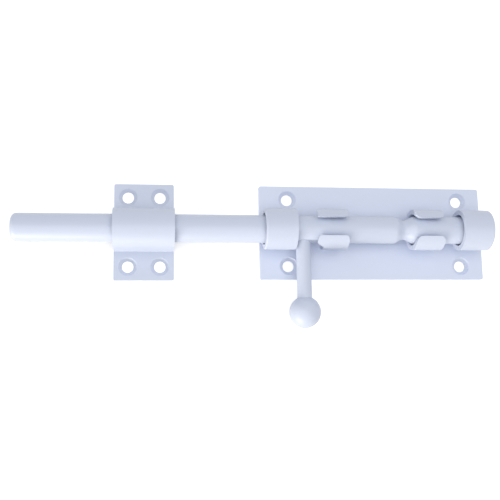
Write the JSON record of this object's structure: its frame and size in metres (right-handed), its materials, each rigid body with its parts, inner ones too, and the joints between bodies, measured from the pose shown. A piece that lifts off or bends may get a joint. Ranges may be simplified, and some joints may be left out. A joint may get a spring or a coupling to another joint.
{
  "type": "slide bolt latch",
  "caption": "Slide bolt latch: a round bolt in a windowed tube barrel on a screw plate, with a ball handle that swings round to lock, and an arched keeper for the bolt's end.",
  "frame": {"origin": "middle of the base plate's back face, where it meets the door", "axes": "+X along the bolt, away from its tip; +Y across the plates, away from the hanging handle; +Z out from the door, towards the user"},
  "size_m": [0.2078, 0.064, 0.0197],
  "materials": {
    "plate_coat": "satin pale blue-white coat on sheet steel",
    "barrel_coat": "satin pale blue-white coat on pressed steel",
    "weld_coat": "coated weld bead, slightly rough",
    "rod_coat": "satin pale blue-white coat on a turned bar",
    "handle_coat": "satin pale blue-white coat on a turned handle",
    "keeper_coat": "satin pale blue-white coat on pressed steel"
  },
  "bodies": {
    "plate_assembly": {"base_plate": "plate_coat", "barrel": "barrel_coat", "barrel_welds": "weld_coat"},
    "bolt": {"bolt_rod": "rod_coat"},
    "handle": {"handle_stem": "handle_coat", "handle_ball": "handle_coat"},
    "keeper": {"keeper": "keeper_coat"}
  },
  "joints": [
    {"name": "bolt_slide", "type": "slide", "parent": "plate_assembly", "child": "bolt", "axis": [1, 0, 0], "range_m": [0, 0.0048]},
    {"name": "handle_turn", "type": "hinge", "parent": "bolt", "child": "handle", "pos_m": [0, 0, 0.0101], "axis": [-1, 0, 0], "range_deg": [0, 180]},
    {"name": "keeper_slide", "type": "slide", "parent": "plate_assembly", "child": "keeper", "axis": [1, 0, 0], "range_m": [-0.075, 0.036]}
  ]
}
